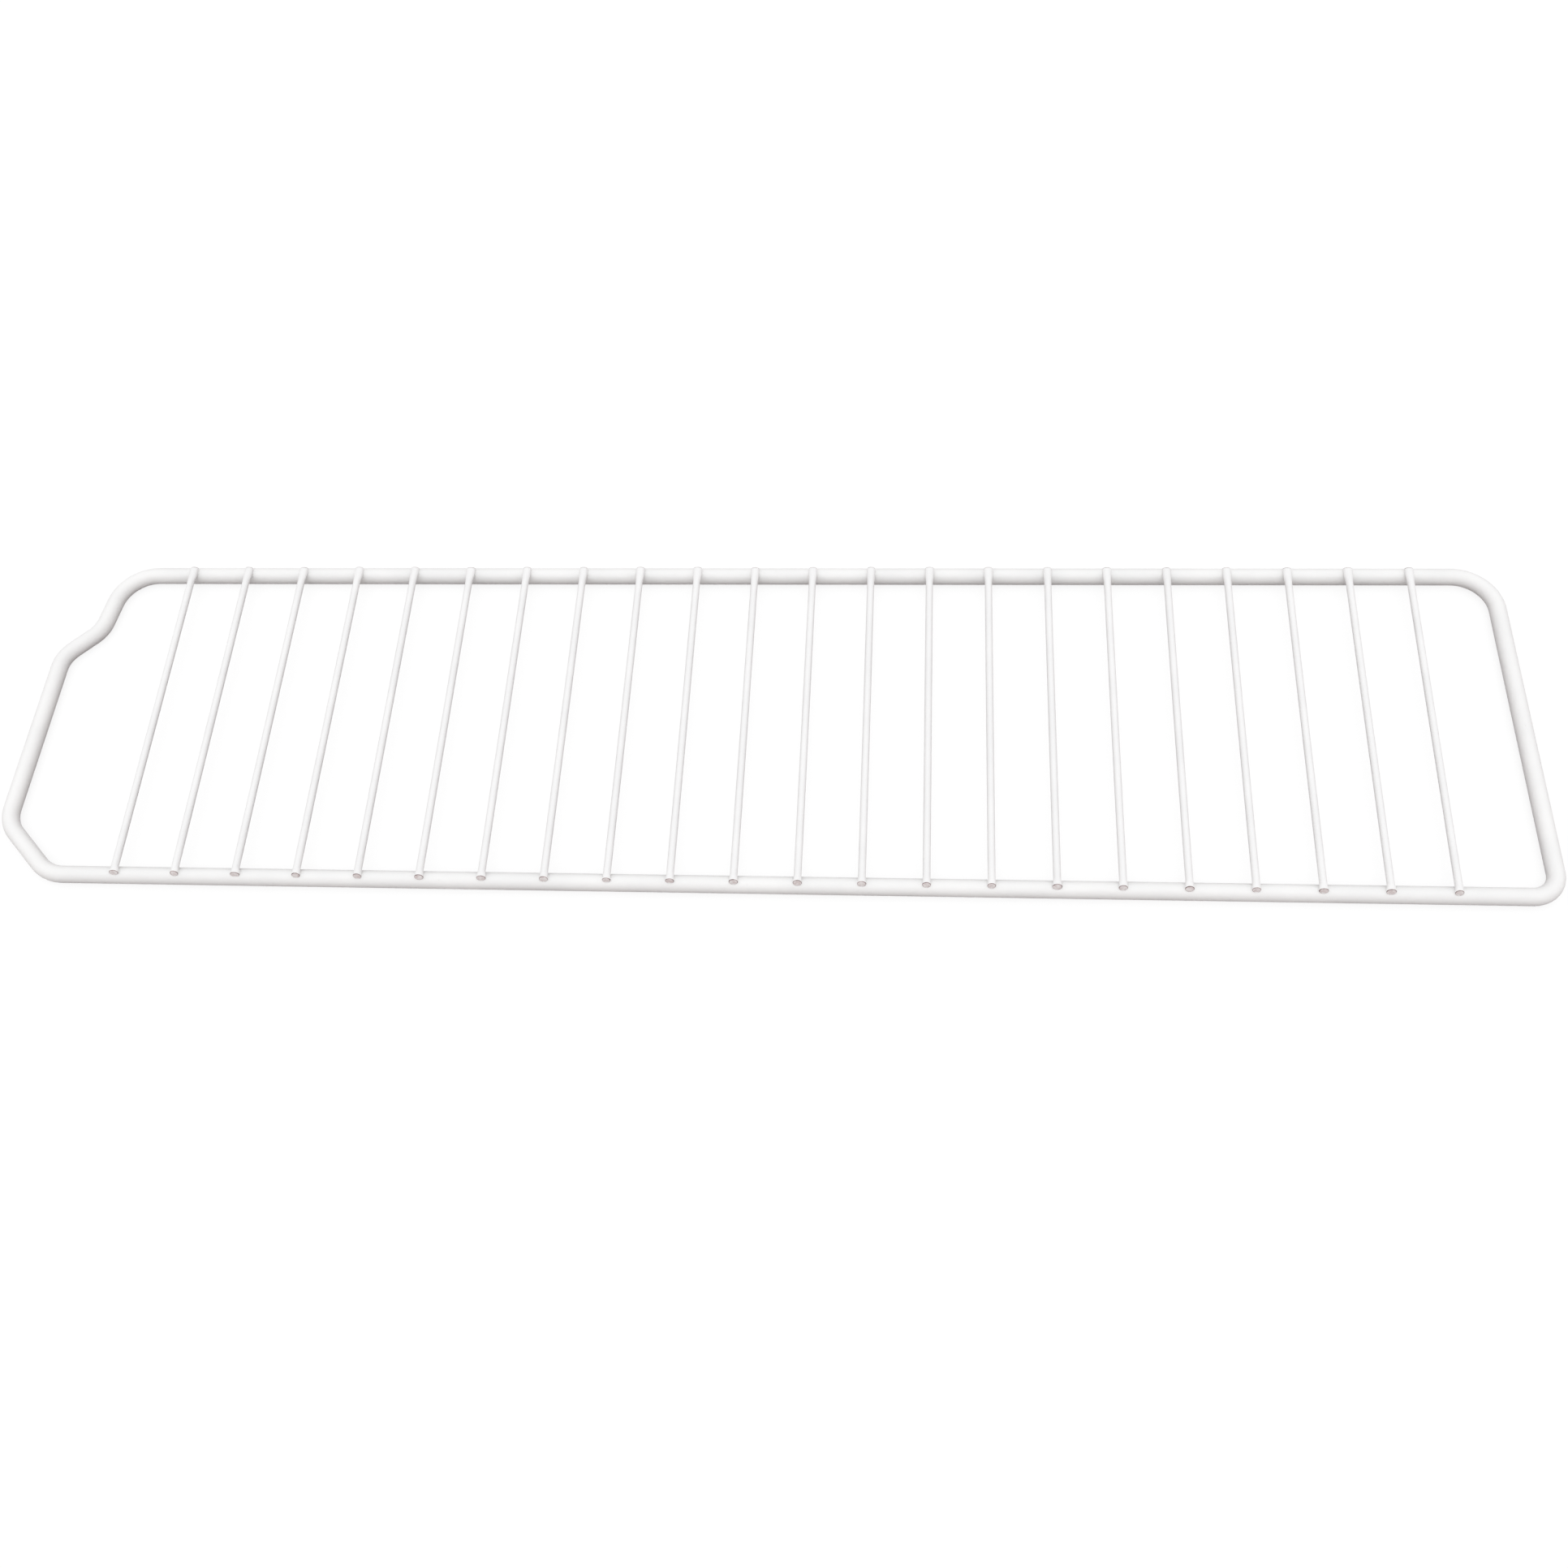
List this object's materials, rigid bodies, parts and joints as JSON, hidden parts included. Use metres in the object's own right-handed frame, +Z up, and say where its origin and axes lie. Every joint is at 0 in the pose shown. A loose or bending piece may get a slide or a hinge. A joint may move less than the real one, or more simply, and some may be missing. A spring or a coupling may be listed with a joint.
{
  "type": "freezer wire shelf",
  "caption": "Narrow flat freezer shelf: parallel white-coated wires welded across a bent rod frame with a cut-off front corner and a stepped notch near the back.",
  "frame": {"origin": "under the middle of the frame's footprint, on the plane that the frame rests on", "axes": "+X along the long rails, +Y from the front rail to the back rail, +Z up to the side that carries the wires"},
  "size_m": [0.623, 0.1556, 0.0096],
  "materials": {
    "white_coating": "satin white coating over steel"
  },
  "bodies": {
    "root": {"frame_rod": "white_coating", "cross_wire_01": "white_coating", "cross_wire_02": "white_coating", "cross_wire_03": "white_coating", "cross_wire_04": "white_coating", "cross_wire_05": "white_coating", "cross_wire_06": "white_coating", "cross_wire_07": "white_coating", "cross_wire_08": "white_coating", "cross_wire_09": "white_coating", "cross_wire_10": "white_coating", "cross_wire_11": "white_coating", "cross_wire_12": "white_coating", "cross_wire_13": "white_coating", "cross_wire_14": "white_coating", "cross_wire_15": "white_coating", "cross_wire_16": "white_coating", "cross_wire_17": "white_coating", "cross_wire_18": "white_coating", "cross_wire_19": "white_coating", "cross_wire_20": "white_coating", "cross_wire_21": "white_coating", "cross_wire_22": "white_coating"}
  },
  "joints": []
}
